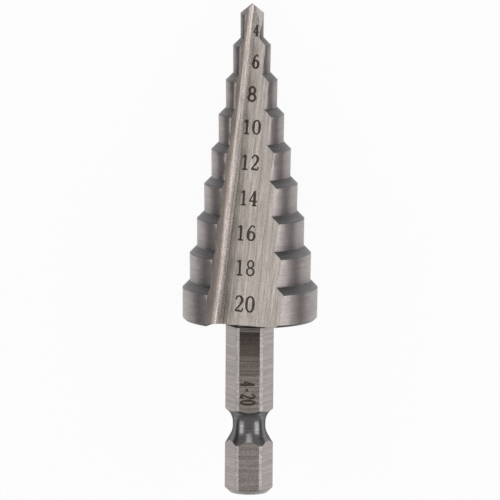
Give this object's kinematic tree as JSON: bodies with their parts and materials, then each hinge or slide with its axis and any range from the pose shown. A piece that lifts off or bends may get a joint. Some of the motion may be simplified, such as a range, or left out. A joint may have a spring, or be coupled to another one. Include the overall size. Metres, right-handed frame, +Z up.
{
  "type": "step drill bit",
  "caption": "Stepped conical drill bit with straight inclined flutes, a conical point and a hexagonal quick-change shank.",
  "frame": {"origin": "on the surface that the bit lies on, under the centre of its bounding box", "axes": "+Y runs along the bit towards the point, which dips towards the surface; +Z is up; one flute faces up"},
  "size_m": [0.0194, 0.0704, 0.0168],
  "materials": {
    "ground_steel": "ground and lightly polished"
  },
  "bodies": {
    "root": {"step_drill": "ground_steel"}
  },
  "joints": []
}
